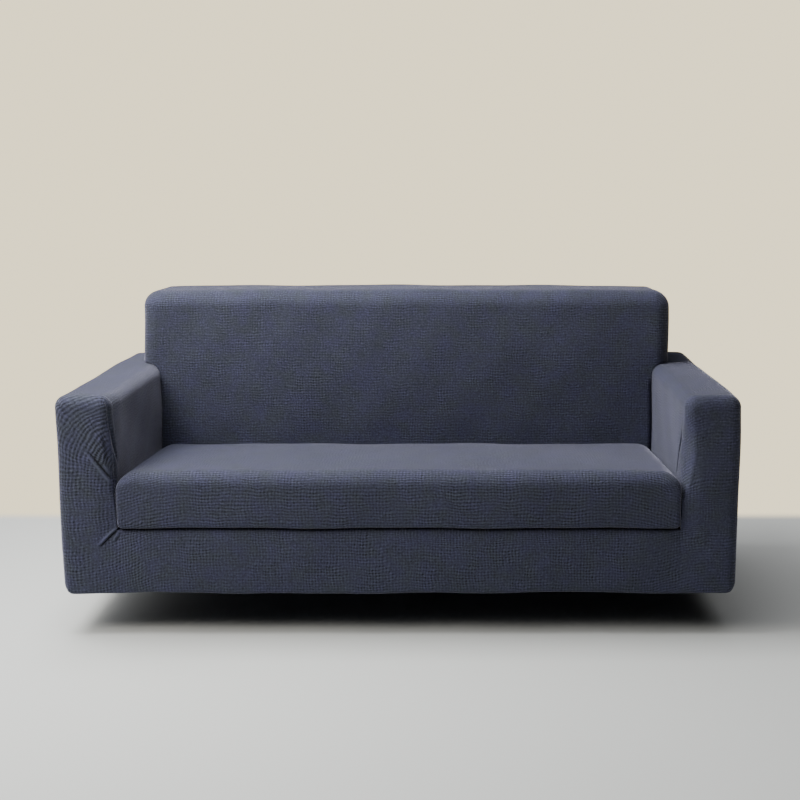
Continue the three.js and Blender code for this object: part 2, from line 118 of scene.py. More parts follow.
# The hem is sharper and more uneven than the model's.
HEM_SAG = 2
HEM_WAVES = [
    {"x": -870, "spread": 60, "drop": 3},
    {"x": -665, "spread": 60, "drop": -3.5},
    {"x": -430, "spread": 70, "drop": 3},
    {"x": -80, "spread": 70, "drop": 3},
    {"x": 400, "spread": 130, "drop": -3},
]

# ---- Sizes of the looks, which the model doesn't have ----

# A ramp is (start, length): it grows from 0 to 1 over that length. A span is two of them, and the
# second takes it back to 0.
SIDE_HOLLOW = 6
SIDE_HOLLOW_REACH = 50
SIDE_HOLLOW_SPAN = ((BASE_TOP - 50, 60), (SEAT_TOP + 20, 160))
EDGE_STRETCH = {-1: 0.9, 1: 2.0}  # the arms' inner front edges are rounder front to back than across
EDGE_STRETCH_SPAN = ((BASE_TOP, 100), (380, 95))
LEFT_LEAN = 5  # and they lean away from the seat
LEFT_LEAN_RAMP = (340, 100)
RIGHT_LEAN = 4
RIGHT_LEAN_RAMP = (250, 70)
SLANT_LEAN = 3
SLANT_SPAN = ((230, 110), (390, 80))
LEAN_WIDTH = 60
LEAN_DEPTH = 100

FRONT_CELL = 3.6
FOLD_CELL = 2  # where the creases stand
CREASED_WIDTH = 72  # of the left arm's front, from its inner edge
LOW_CREASES = (128, 180)
HIGH_CREASES = (300, 390)
BASE_CELL = 8
BASE_END = 20  # the ends of the base are as fine as the arms
SHEET_CELL = 6.5
BACK_CELL = 5.5
SIDE_CELL = 5
ROUND_CELL = 4
BEND_CELL = 3
NARROWEST_CELL = 0.5
REAR_CELL = 8
SEAM_CUTS = np.array([1.5, 3.5, 6.5])  # lines close to a sewn edge, where the cloth dips into the seam
SEAM_DIP = 0.25
SEAM_DIP_WIDTH = 3
SEAM_PUCKER = 9  # length of one pucker along a seam
PUCKER_SHARE = 0.35  # how much of the dip comes and goes with the puckers
DRAWN_SEAM_GAP = 1.5  # where the right arm's seam is drawn in, its two edges tilt towards each other
DRAWN_SEAM_SPAN = ((265, 30), (440, 25))
LEDGE_SETTLE = 60  # the side of the back follows the arm's top less and less over this height

# Check of the jacquard: one pit and the ribs round it
CHECK = 8.2
WEAVE_DEPTH = 0.45
LOOP = CHECK / 4  # real loops are about 1.3 mm: drawn coarser so that they show
LOOP_SHARE = 0.15  # height of a loop beside that of a check
FLOOR_DROP = 118  # the cover hangs this far above the floor

OPEN = 1e5
EPSILON = 1e-3


def smooth(value):
    share = np.clip(value, 0, 1)
    return share * share * (3 - 2 * share)


def bump(value):
    return 1 - np.square(value)


def between(share, low, high):
    return low + (high - low) * share


def ramp(value, reach):
    start, length = reach
    return smooth((value - start) / length)


def span(value, ramps):
    return ramp(value, ramps[0]) * (1 - ramp(value, ramps[1]))


# ---- Rounding ----

def soften(x, depth, z, left, right, bottom, top, corner, edge):
    """Moves box points onto the same box with round corners and a round edge."""
    edge = np.minimum(np.maximum(edge, 0.01), corner)
    inset = np.minimum(np.minimum(x - left, right - x), np.minimum(z - bottom, top - z))
    angle = math.pi / 4 * (1 + np.clip((depth - inset) / edge, -1, 1))
    new_inset = edge * (1 - np.sin(angle)) + np.maximum(0, inset - edge)
    new_depth = edge * (1 - np.cos(angle)) + np.maximum(0, depth - edge)
    centre_x = np.clip(x, left + corner, right - corner)
    centre_z = np.clip(z, bottom + corner, top - corner)
    away = np.hypot(x - centre_x, z - centre_z)
    reach = np.where(away > 0, (corner - new_inset) / np.maximum(away, 1e-9), 1)
    return centre_x + (x - centre_x) * reach, new_depth, centre_z + (z - centre_z) * reach


# ---- Form of the arms and the base ----

def inner_seam(z, side):
    return np.interp(z, INNER_SEAM[:, 0], INNER_SEAM[:, 1 if side < 0 else 2])


def seam_gap(z, side):
    return between(span(z, DRAWN_SEAM_SPAN) * (side > 0), SEAM_GAP, DRAWN_SEAM_GAP)


def hem_drop(x):
    waves = [wave["drop"] * np.exp(-np.square((x - wave["x"]) / wave["spread"])) for wave in HEM_WAVES]
    return HEM_SAG + sum(waves)


def front_edge(across, z):
    """The front is sharper at its hem than higher up and at its sides."""
    near_hem = smooth(0.5 + (HALF_WIDTH - across - z) / (2 * ARM_ROUND)) * (1 - smooth((z - 30) / 60))
    return between(near_hem, ARM_ROUND, HEM_ROUND)


def fill_arm(across, y, z):
    """The arm's faces stand out a little: front, top and outer side."""
    across_arm = (2 * across - ARM_INNER - HALF_WIDTH) / (HALF_WIDTH - ARM_INNER)
    crown = np.clip(bump(across_arm), 0, 1)
    height = np.clip(bump((2 * z - ARM_TOP) / ARM_TOP), 0, 1)
    on_top = smooth((z - LEDGE) / ARM_ROUND)
    on_outer = smooth((across - HALF_WIDTH + ARM_ROUND) / ARM_ROUND)
    on_front = 1 - smooth(y / ARM_ROUND)
    new_across = across + ARM_OUTER_FULLNESS * height * on_outer
    new_y = y - ARM_FRONT_FULLNESS * crown * height * on_front
    return new_across, new_y, z + ARM_TOP_FULLNESS * crown * on_top


def arm_form(across, depth, z, side):
    above_base = z >= BASE_TOP - EPSILON
    near_inside = (across < (ARM_INNER + HALF_WIDTH) / 2) & above_base
    fade = np.where(near_inside, smooth((z - BASE_TOP) / ARM_INNER_FADE), 1)
    left = np.where(above_base, ARM_INNER, -OPEN)
    inwards = smooth(1 - (across - ARM_INNER) / (2 * ARM_ROUND))
    stretch = np.where(side < 0, EDGE_STRETCH[-1], EDGE_STRETCH[1])
    stretch = 1 + stretch * span(z, EDGE_STRETCH_SPAN) * inwards
    moved_across, y, moved_z = soften(
        across, depth / stretch, z, left, HALF_WIDTH, 0, ARM_TOP, ARM_ROUND, front_edge(across, z) * fade
    )
    y = y * stretch
    lean_right = RIGHT_LEAN * ramp(z, RIGHT_LEAN_RAMP) + SLANT_LEAN * span(z, SLANT_SPAN)
    lean = np.where(side < 0, LEFT_LEAN * ramp(z, LEFT_LEAN_RAMP), lean_right)
    near_edge = (1 - smooth((moved_across - ARM_INNER) / LEAN_WIDTH)) * (1 - smooth(y / LEAN_DEPTH))
    return fill_arm(moved_across + lean * near_edge * above_base, y, moved_z)


def base_form(across, depth, z):
    fade = smooth((ARM_INNER - across) / INSIDE_CORNER_FADE)
    edge = np.where(z > BASE_TOP / 2, BASE_TOP_ROUND * fade, HEM_ROUND)
    new_across, y, new_z = soften(across, depth, z, -OPEN, OPEN, 0, BASE_TOP, ARM_ROUND, edge)
    full = np.clip(bump((2 * z - BASE_TOP) / BASE_TOP), 0, 1) * (1 - smooth(depth / ARM_ROUND))
    ends = np.clip(bump(across / ARM_INNER) * 4, 0, 1)
    return new_across, y - BASE_FRONT_FULLNESS * full * ends, new_z


def side_hollow(across, depth, z):
    """The front dips towards the ends of the seat, which press on it."""
    near = smooth(1 - np.abs(across - ARM_INNER) / SIDE_HOLLOW_REACH)
    return SIDE_HOLLOW * near * span(z, SIDE_HOLLOW_SPAN) * (1 - smooth(depth / SEAM_SETBACK))


def front_form(x, depth, z):
    across = np.abs(x)
    side = np.where(x < 0, -1, 1)
    arm = arm_form(across, depth, z, side)
    base = base_form(across, depth, z)
    on_arm = across >= ARM_INNER - EPSILON
    new_across, y, new_z = (np.where(on_arm, a, b) for a, b in zip(arm, base))
    hem = hem_drop(x) * (1 - smooth(z / BASE_TOP)) * (1 - smooth(depth / FULL_DEPTH))
    return side * new_across, y + side_hollow(across, depth, z), new_z - hem


# ---- Form of the back ----

def back_face(z):
    return BACK_FOOT + BACK_LEAN * (z - TUCK_BOTTOM)


def ledge_height(across):
    """Height of the lower edge of the back's side, one tuck spacing above the arm's cloth."""
    radius = ARM_ROUND + TUCK_SPACING
    run = np.clip(ARM_INNER + ARM_ROUND - across, 0, radius)
    height = LEDGE + np.sqrt(radius ** 2 - run ** 2)
    return fill_arm(across, FULL_DEPTH / 2, height)[2]


def stand_on_arm(across, z):
    rise = ledge_height(across) - LEDGE
    return z + rise * np.clip(1 - (z - LEDGE) / LEDGE_SETTLE, 0, 1)


def settle_back_top(x, z, share):
    height = np.clip((z - ARM_TOP) / (BACK_TOP - ARM_TOP), 0, 1)
    droop = BACK_TOP_DROOP * np.square(x / BACK_HALF_WIDTH)
    return z - height * (droop + BACK_TOP_FALL * share)


def inside_back_form(x, depth, z):
    across = np.abs(x)
    lower = z <= LEDGE + EPSILON
    fade = smooth((LEDGE - z) / INSIDE_CORNER_FADE)
    right = np.where(lower, SEAT_HALF_WIDTH, BACK_HALF_WIDTH)
    top = np.where(lower, OPEN, BACK_TOP)
    corner = np.where(lower, BACK_LOWER_ROUND, BACK_CORNER)
    edge = np.where(lower, BACK_LOWER_ROUND * fade, BACK_FRONT_ROUND)
    new_across, new_depth, new_z = soften(across, depth, z, -OPEN, right, -OPEN, top, corner, edge)
    width = np.clip(bump(across / BACK_HALF_WIDTH), 0, 1)
    rise = np.clip(bump((2 * z - BACK_TOP - TUCK_BOTTOM) / (BACK_TOP - TUCK_BOTTOM)), 0, 1)
    full = BACK_FRONT_FULLNESS * width * rise * (1 - smooth(depth / BACK_FRONT_ROUND))
    to_seam = REAR_SEAM - back_face(z)
    share = smooth((depth - BACK_FRONT_ROUND) / (to_seam - BACK_FRONT_ROUND))
    y = back_face(z) + new_depth - full
    return np.where(x < 0, -1, 1) * new_across, y, settle_back_top(x, new_z, share)


def outside_back_form(x, depth, z):
    """The rear face, with depth counted forward from it."""
    across = np.abs(x)
    beside_back = across > BACK_HALF_WIDTH + EPSILON
    upper = (z > ARM_TOP + EPSILON) | ((np.abs(z - ARM_TOP) < EPSILON) & ~beside_back)
    up_fade = np.where(across > BACK_HALF_WIDTH / 2, smooth((z - ARM_TOP) / INSIDE_CORNER_FADE), 1)
    beside_arm = beside_back & (z > ARM_TOP / 2)
    side_fade = np.where(beside_arm, smooth((across - BACK_HALF_WIDTH) / INSIDE_CORNER_FADE), 1)
    new_across, new_depth, new_z = soften(
        across,
        depth,
        z,
        -OPEN,
        np.where(upper, BACK_HALF_WIDTH, HALF_WIDTH),
        np.where(upper, -OPEN, 0),
        np.where(upper, BACK_TOP, np.where(beside_back, ARM_TOP, OPEN)),
        np.where(upper, BACK_CORNER, ARM_ROUND),
        ARM_ROUND * np.where(upper, up_fade, side_fade),
    )
    width = np.clip(bump(across / HALF_WIDTH), 0, 1)
    rise = np.clip(bump((2 * z - BACK_TOP) / BACK_TOP), 0, 1)
    y = FULL_DEPTH - new_depth + REAR_FULLNESS * width * rise * (1 - smooth(depth / ARM_ROUND))
    settled = settle_back_top(np.clip(x, -BACK_HALF_WIDTH, BACK_HALF_WIDTH), new_z, 1)
    filled_across, _, filled_z = fill_arm(new_across, FULL_DEPTH, new_z)
    filled = (across >= BACK_HALF_WIDTH - EPSILON) & ~upper
    new_across = np.where(filled, filled_across, new_across)
    new_z = np.where(filled, filled_z, np.where(upper, settled, new_z))
    return np.where(x < 0, -1, 1) * new_across, y, new_z


# ---- Form of the seat ----

def seat_form(x, depth, z):
    """depth runs back over the seat and then down into the tuck behind it."""
    top_half = z > (SEAT_TOP + SEAT_BOTTOM) / 2
    corner = np.where(top_half, SEAT_TOP_CORNER, SEAT_BOTTOM_CORNER)
    upwards = np.where(top_half, SEAT_TOP - z, z - SEAT_BOTTOM)
    sideways = SEAT_HALF_WIDTH - np.abs(x)
    on_level = smooth(0.5 + (sideways - upwards) / (2 * corner))
    level_round = np.where(top_half, SEAT_TOP_ROUND, SEAT_BOTTOM_ROUND)
    edge = between(on_level, SEAT_SIDE_ROUND, level_round)
    new_x, new_depth, new_z = soften(
        x, depth, z, -SEAT_HALF_WIDTH, SEAT_HALF_WIDTH, SEAT_BOTTOM, SEAT_TOP, corner, edge
    )
    length = SEAT_REAR - SEAT_FRONT
    bend = SEAT_BOTTOM_ROUND
    over = new_depth - (length - bend)
    bend_angle = np.clip(over / bend, 0, math.pi / 2)
    y = SEAT_FRONT + np.minimum(new_depth, length - bend) + bend * np.sin(bend_angle)
    down = bend * (1 - np.cos(bend_angle)) + np.maximum(0, over - bend * math.pi / 2)

    along = np.clip(new_depth / length, 0, 1)
    height = np.clip((new_z - SEAT_BOTTOM) / (SEAT_TOP - SEAT_BOTTOM), 0, 1)
    wide = np.clip(bump(np.square(x / SEAT_HALF_WIDTH)), 0, 1)
    level = height * (SEAT_TOP_FULLNESS * wide * bump(2 * along - 1) - SEAT_FALL * along) - down
    rise = np.clip(bump(2 * height - 1), 0, 1)
    full = SEAT_FRONT_FULLNESS * wide * rise * (1 - smooth(depth / SEAT_TOP_ROUND))
    return new_x, y - full, new_z + level


# ---- Folds and unevenness ----

# How much a distance counts along x, y and z: little through the face that a fold stands on.
ON_FRONT = (1, 0.35, 1)
ON_SIDE = (0.35, 1, 1)

# Folds, in (x, y, z). A ridge has its groove beside it, at that offset, and "crisp" is how much it
# shows in the weave and in the painted highlight on the ridge and painted shade in the groove.
FOLD_END = 0.25  # a fold dies away over this share of its length at each end
FOLD_LEFT = 0.25  # and this is left at the very end, before smoothing
FOLDS = [
    {   # long pull on the left arm, from the opened checks down to the seat's corner
        "on": ON_FRONT,
        "path": [(-817, 0, 381), (-800, 0, 358), (-783, 0, 336), (-767, 0, 315), (-753, 3, 296)],
        "crisp": 0.9, "rise": 3.6, "width": 3, "groove": 5, "groove_width": 3.6, "beside": (5, 0, 4.5),
    },
    {   # its short twin beyond the groove
        "on": ON_FRONT,
        "path": [(-774, 0, 348), (-762, 0, 331), (-752, 4, 315)],
        "crisp": 0.8, "rise": 2.4, "width": 3, "groove": 0, "groove_width": 3, "beside": (0, 0, 0),
    },
    {   # pull from the seat's lower corner
        "on": ON_FRONT,
        "path": [(-748, 6, 178), (-764, 2, 165), (-779, 0, 150), (-797, 0, 132)],
        "crisp": 0.85, "rise": 3.6, "width": 2.6, "groove": 4.5, "groove_width": 3, "beside": (4, 0, -5),
    },
    {   # short fold beside it
        "on": ON_FRONT,
        "path": [(-741, 0, 170), (-748, 0, 157), (-757, 0, 143)],
        "crisp": 0.6, "rise": 2, "width": 3, "groove": 3, "groove_width": 3, "beside": (5, 0, -2),
    },
    {   # soft folds on the inner edge of the left arm
        "on": ON_SIDE,
        "path": [(-757, 10, 446), (-751, 16, 415), (-748, 24, 380), (-748, 32, 345)],
        "crisp": 0.3, "rise": 2.4, "width": 6, "groove": 3.5, "groove_width": 5, "beside": (0, 9, 0),
    },
    {
        "on": ON_FRONT,
        "path": [(-766, 2, 436), (-760, 4, 404), (-757, 6, 372), (-757, 8, 344)],
        "crisp": 0.25, "rise": 1.8, "width": 5, "groove": 2.6, "groove_width": 4.5, "beside": (-8, 0, -2),
    },
    {   # the seam of the right arm is drawn in where it slants back
        "on": ON_SIDE,
        "path": [(748, 60, 432), (748, 62, 410), (748, 80, 372), (748, 95, 338), (748, 109, 306)],
        "crisp": 0.8, "rise": 0, "width": 7, "groove": 3.5, "groove_width": 3, "beside": (0, 0, 0),
    },
]

# Slow waves that bend all the sheets alike, so they stay clear of each other.
WAVES = [
    {"towards": (0, 1, 0), "length": 330, "run": (1, 0.2, 0.5), "phase": 0.4, "height": 1.0},
    {"towards": (0, 1, 0), "length": 170, "run": (0.8, 0.1, -0.7), "phase": 2.1, "height": 0.6},
    {"towards": (0, 1, 0), "length": 95, "run": (0.5, 0.2, 1), "phase": 4.0, "height": 0.25},
    {"towards": (0, 0, 1), "length": 410, "run": (1, 0.7, 0), "phase": 1.3, "height": 1.2},
    {"towards": (0, 0, 1), "length": 190, "run": (0.9, -0.6, 0), "phase": 5.2, "height": 0.6},
    {"towards": (1, 0, 0), "length": 290, "run": (0, 0.6, 1), "phase": 0.9, "height": 0.9},
    {"towards": (1, 0, 0), "length": 150, "run": (0, -0.9, 0.8), "phase": 3.3, "height": 0.4},
]


def unevenness(points):
    offset = np.zeros_like(points)
    for wave in WAVES:
        run = np.array(wave["run"]) / np.linalg.norm(wave["run"])
        turns = points @ run / wave["length"]
        height = wave["height"] * np.sin(2 * math.pi * turns + wave["phase"])
        offset += height[:, None] * np.array(wave["towards"])
    return offset


def distance_to_path(points, path):
    """Distance from each point to a broken line, and how far along the line it is, from 0 to 1."""
    path = np.array(path, float)
    lengths = np.linalg.norm(np.diff(path, axis=0), axis=1)
    starts = np.concatenate([[0], np.cumsum(lengths)]) / lengths.sum()
    nearest = np.full(len(points), np.inf)
    along = np.zeros(len(points))
    for i, (start, end) in enumerate(zip(path, path[1:])):
        run = end - start
        share = np.clip((points - start) @ run / (run @ run), 0, 1)
        distance = np.linalg.norm(points - start - share[:, None] * run, axis=1)
        closer = distance < nearest
        nearest = np.where(closer, distance, nearest)
        along = np.where(closer, between(share, starts[i], starts[i + 1]), along)
    return nearest, along


def fold_height(points):
    """How far the folds stand out, and how raised they are, from -1 in a groove to 1 on a ridge: this
    flattens the weave and sets the painted highlight and shade.
    """
    height = np.zeros(len(points))
    raised = np.zeros(len(points))
    for fold in FOLDS:
        counts = np.array(fold["on"])
        path = np.array(fold["path"], float)
        ridge, along = distance_to_path(points * counts, path * counts)
        groove, _ = distance_to_path(points * counts, (path + np.array(fold["beside"])) * counts)
        fade = smooth(np.minimum(along, 1 - along) / FOLD_END + FOLD_LEFT)
        on_ridge = fade * np.exp(-np.square(ridge / fold["width"]))
        in_groove = fade * np.exp(-np.square(groove / fold["groove_width"]))
        height += fold["rise"] * on_ridge - fold["groove"] * in_groove
        raised += fold["crisp"] * (on_ridge * (fold["rise"] > 0) - in_groove * (fold["groove"] > 0))
    return height, np.clip(raised, -1, 1)


def seam_dip(points, quads):
    """How far the cloth is drawn in towards its sewn edges."""
    edges = np.sort(np.stack([quads, np.roll(quads, -1, axis=1)], axis=-1).reshape(-1, 2), axis=1)
    edges, counts = np.unique(edges, axis=0, return_counts=True)
    rim = np.unique(edges[counts == 1])
    tree = KDTree(len(rim))
    for i in rim:
        tree.insert(points[i], int(i))
    tree.balance()
    distance = np.array([tree.find(point)[2] for point in points])
    pucker = 1 + PUCKER_SHARE * np.sin(points.sum(axis=1) * 2 * math.pi / SEAM_PUCKER)
    return SEAM_DIP * pucker * np.exp(-np.square(distance / SEAM_DIP_WIDTH))


# ---- How the weave lies ----

# The folds add a fifth value when the sheet is sewn: how raised it is, which flattens the checks and
# paints a highlight on a ridge and shade in a groove.

LOOSE_PULL = 0.45
LEFT_ARM_PULL = 0.65
LEFT_PULL_RAMP = (300, 110)
BASE_PULL = 0.15
BASE_PULL_RAMP = (-ARM_INNER, 120)
RIGHT_ARM_PULL = 0.6
RIGHT_PULL_RAMP = (ARM_INNER - 150, 150)
FLAT = -0.18
ARC_CENTRE = (-722, 325)
ARC_RADIUS = 110
ARC_STRETCH = 1.18
HIGH_STRETCH = 0.16  # and more so towards its top
HIGH_REACH = 120
SEAT_STRETCH = 1.05
OPENED = {"s": -784, "t": 381, "width": 44, "length": 22, "by": 1.2}  # the long way is down to the right
LEFT_ARM_OPENED = (-0.15, 0.2)  # low and high on the left arm
LEFT_OPENED_RAMP = (250, 140)
LOW_ROWS_RAMP = (BASE_TOP - 20, 130)
CORNER_LIFT = 62
CORNER_LIFT_RAMP = (-850, 250)
CORNER_FALL = 40
CORNER_FALL_RAMP = (600, 240)
SEAM_CURL = 26
SEAM_CURL_RAMP = (120, 220)
CURL_BEFORE_SEAM = 0.3
SEAT_DROOP = 38
SEAT_DROOP_REACH = 190
SEAT_DROOP_MOST = 1.3
SEAT_DROOP_FADE = (SEAT_TOP, 90)


def plain_weave(s, t):
    return s, t, np.full(np.shape(s), LOOSE_PULL), np.full(np.shape(s), FLAT)


def front_weave(s, t):
    """On the left arm the rows run in arcs round the seat's upper corner, and go on straight down.

    Beside both lower corners of the seat the rows are pulled up towards it, and on the right arm
    they rise from the seam to the front.
    """
    away_s = ARC_CENTRE[0] - s
    away_t = t - ARC_CENTRE[1]
    low = 1 - ramp(t, LOW_ROWS_RAMP)
    lift = CORNER_LIFT * ramp(s, CORNER_LIFT_RAMP) * low
    fall = CORNER_FALL * ramp(s, CORNER_FALL_RAMP) * low
    turn = np.arctan2(np.maximum(away_t, 0), np.maximum(away_s, EPSILON))
    distance = np.where(away_t > 0, np.hypot(away_s, away_t), away_s)
    arc_u = np.where(away_t > 0, ARC_RADIUS * turn, away_t) - lift
    arc_v = -distance / (ARC_STRETCH + HIGH_STRETCH * smooth(away_t / HIGH_REACH))

    corner = (ARM_INNER + ARC_CENTRE[0]) / ARC_STRETCH
    beyond = s - ARM_INNER
    past_seam = SEAM_CURL * (1 - np.exp(-beyond / SEAM_CURL))
    curl = np.where(beyond > 0, past_seam, CURL_BEFORE_SEAM * beyond)
    curl = curl * ramp(t, SEAM_CURL_RAMP) * (s > 0)
    base_u = s + ARM_INNER - corner
    base_v = away_t - curl - lift - fall

    on_left_arm = s < EPSILON - ARM_INNER
    loose = between(ramp(s, RIGHT_PULL_RAMP), BASE_PULL * ramp(s, BASE_PULL_RAMP), RIGHT_ARM_PULL)
    pull = np.where(on_left_arm, LEFT_ARM_PULL * ramp(t, LEFT_PULL_RAMP), loose)
    off_s = s - OPENED["s"]
    off_t = t - OPENED["t"]
    wide = np.square((off_s - off_t) / OPENED["width"])
    long = np.square((off_s + off_t) / OPENED["length"])
    on_arm = OPENED["by"] * np.exp(-wide - long) + between(ramp(t, LEFT_OPENED_RAMP), *LEFT_ARM_OPENED)
    opened = np.where(on_left_arm, on_arm, FLAT / 2)
    return np.where(on_left_arm, arc_u, base_u), np.where(on_left_arm, arc_v, base_v), pull, opened


def seat_weave(s, t):
    """The rows droop towards both ends of the seat's front."""
    end = (np.abs(s) - SEAT_HALF_WIDTH + SEAT_DROOP_REACH) / SEAT_DROOP_REACH
    droop = SEAT_DROOP * np.square(np.clip(end, 0, SEAT_DROOP_MOST)) * (1 - ramp(t, SEAT_DROOP_FADE))
    u = s / SEAT_STRETCH
    v = (t + droop) / SEAT_STRETCH
    return u, v, np.full(np.shape(s), LOOSE_PULL), np.zeros(np.shape(s))


# ---- Sheets ----

def cuts(*marks, cell):
    """Lines from the first mark to the last, through every mark, with cells no wider than cell."""
    parts = []
    for start, end in zip(marks, marks[1:]):
        parts.append(np.linspace(start, end, max(1, math.ceil((end - start) / cell)) + 1))
    return np.unique(np.concatenate(parts).round(4))


def finer_at_seams(lines, first=False, last=False):
    """More lines next to a sewn first or last line."""
    if first:
        near = lines[0] + SEAM_CUTS
        lines = np.concatenate([lines[:1], near, lines[lines > near[-1] + 1]])
    if last:
        near = lines[-1] - SEAM_CUTS[::-1]
        lines = np.concatenate([lines[lines < near[0] - 1], near, lines[-1:]])
    return lines


def mirrored(half):
    return np.unique(np.concatenate([-half, half]).round(4))


class Sheet:
    """Quads on box points; patches that share points are one cloth."""

    def __init__(self, form, weave):
        self.form = form
        self.weave = weave
        self.corners = []
        self.cloth = []

    def patch(self, u_lines, v_lines, place, unroll, flipped=False, keep=None):
        """place turns line values into a box point, and unroll that point into a place on the cut."""
        u, v = np.meshgrid(u_lines, v_lines, indexing="ij")
        box = np.stack(np.broadcast_arrays(*place(u, v)), axis=-1).astype(float)
        cut = np.broadcast_arrays(*unroll(box[..., 0], box[..., 1], box[..., 2]))
        weave = np.stack(self.weave(*cut), axis=-1)
        order = [(0, 1), (1, 1), (1, 0), (0, 0)] if flipped else [(0, 0), (1, 0), (1, 1), (0, 1)]
        wanted = np.ones((len(u_lines) - 1, len(v_lines) - 1), bool)
        if keep is not None:
            middle_u = (u[:-1, :-1] + u[1:, 1:]) / 2
            middle_v = (v[:-1, :-1] + v[1:, 1:]) / 2
            wanted = keep(middle_u, middle_v)
        for values, gathered in ((box, self.corners), (weave, self.cloth)):
            rows, columns = len(u_lines) - 1, len(v_lines) - 1
            quads = [values[i:i + rows, j:j + columns][wanted] for i, j in order]
            gathered.append(np.stack(quads, axis=1))

    def quads(self):
        """Box points, the quads between them, and the weave at each corner of each quad."""
        corners = np.concatenate(self.corners)
        points, index = np.unique(corners.reshape(-1, 3).round(3), axis=0, return_inverse=True)
        return points, index.reshape(-1, 4), np.concatenate(self.cloth)


def vertex_normals(points, quads):
    a, b, c, d = (points[quads[:, i]] for i in range(4))
    face_normals = np.cross(c - a, d - b)
    normals = np.zeros_like(points)
    for i in range(4):
        np.add.at(normals, quads[:, i], face_normals)
    return normals / np.linalg.norm(normals, axis=1)[:, None]


mount_x, mount_y, mount_z = inside_back_form(np.zeros(1), MOUNT_DEPTH, BACK_TOP)
ORIGIN = np.array([mount_x[0], mount_y[0], mount_z[0] - CLOTH_THICKNESS / 2])


def to_metres(points):
    return (points - ORIGIN) / 1000


def sew(name, sheet, material):
    """Makes the piece: the sheet with its unevenness, folds and seams, two layers and a rim."""
    box, quads, weave = sheet.quads()
    points = np.column_stack(sheet.form(*box.T))
    height, raised = fold_height(points)
    normals = vertex_normals(points, quads)
    points += normals * (height - seam_dip(points, quads))[:, None]
    points += unevenness(points)

    piece = bpy.data.objects.new(f"{name}_knit", bpy.data.meshes.new(f"{name}_knit"))
    mesh = piece.data
    mesh.from_pydata(to_metres(points).tolist(), [], quads.tolist())
    mesh.uv_layers.new(name="cloth").data.foreach_set("uv", (weave[..., :2] / 1000).ravel())
    mesh.attributes.new("pull", "FLOAT", "CORNER").data.foreach_set("value", weave[..., 2].ravel())
    mesh.attributes.new("opened", "FLOAT", "CORNER").data.foreach_set("value", weave[..., 3].ravel())
    mesh.attributes.new("raised", "FLOAT", "POINT").data.foreach_set("value", raised)
    mesh.polygons.foreach_set("use_smooth", np.ones(len(quads), bool))
    mesh.materials.append(material)
    bpy.context.scene.collection.objects.link(piece)

    thicken = piece.modifiers.new("thickness", "SOLIDIFY")
    thicken.thickness = CLOTH_THICKNESS / 1000
    thicken.offset = 0
    bpy.context.view_layer.objects.active = piece
    bpy.ops.object.modifier_apply(modifier=thicken.name)
    piece.data.set_sharp_from_angle(angle=math.radians(50))

    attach(piece, "root")
    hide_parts(name)


def base_front(sheet, across, heights, depths):
    """Face, turned top and hem of the base."""
    def between_arms(x):
        return np.clip(x, 2 * EPSILON - ARM_INNER, ARM_INNER - 2 * EPSILON)

    turned_depths = cuts(0, BASE_TOP_ROUND, SEAM_SETBACK, cell=FRONT_CELL)
    sheet.patch(
        across, heights,
        lambda x, z: (x, 0, z),
        lambda x, depth, z: (between_arms(x), z),
    )
    sheet.patch(
        across, turned_depths,
        lambda x, depth: (x, depth, BASE_TOP),
        lambda x, depth, z: (between_arms(x), BASE_TOP + depth),
    )
    sheet.patch(
        across, depths,
        lambda x, depth: (x, depth, 0),
        lambda x, depth, z: (between_arms(x), -depth),
        flipped=True,
    )


def arm_front(sheet, side, across, heights, depths):
    """Face of an arm's front, and its edges turned to the seams: top, hem, outer and inner side."""
    def to_seam(depth, z):
        share = np.clip((depth - ARM_ROUND) / (SEAM_SETBACK - ARM_ROUND), 0, 1)
        return np.where(share > 0, between(share, ARM_ROUND, inner_seam(z, side)), depth)

    flipped = side < 0
    sheet.patch(
        across, heights,
        lambda x, z: (side * x, 0, z),
        lambda x, depth, z: (x, z),
        flipped=flipped,
    )
    sheet.patch(
        across, depths,
        lambda x, depth: (side * x, depth, ARM_TOP),
        lambda x, depth, z: (x, ARM_TOP + depth),
        flipped=flipped,
    )
    sheet.patch(
        across, depths,
        lambda x, depth: (side * x, depth, 0),
        lambda x, depth, z: (x, -depth),
        flipped=not flipped,
    )
    sheet.patch(
        depths, heights,
        lambda depth, z: (side * HALF_WIDTH, depth, z),
        lambda x, depth, z: (x + side * depth, z),
        flipped=flipped,
    )
    sheet.patch(
        depths, heights[heights >= BASE_TOP],
        lambda depth, z: (side * ARM_INNER, to_seam(depth, z), z),
        lambda x, depth, z: (x - side * depth, z),
        flipped=not flipped,
    )


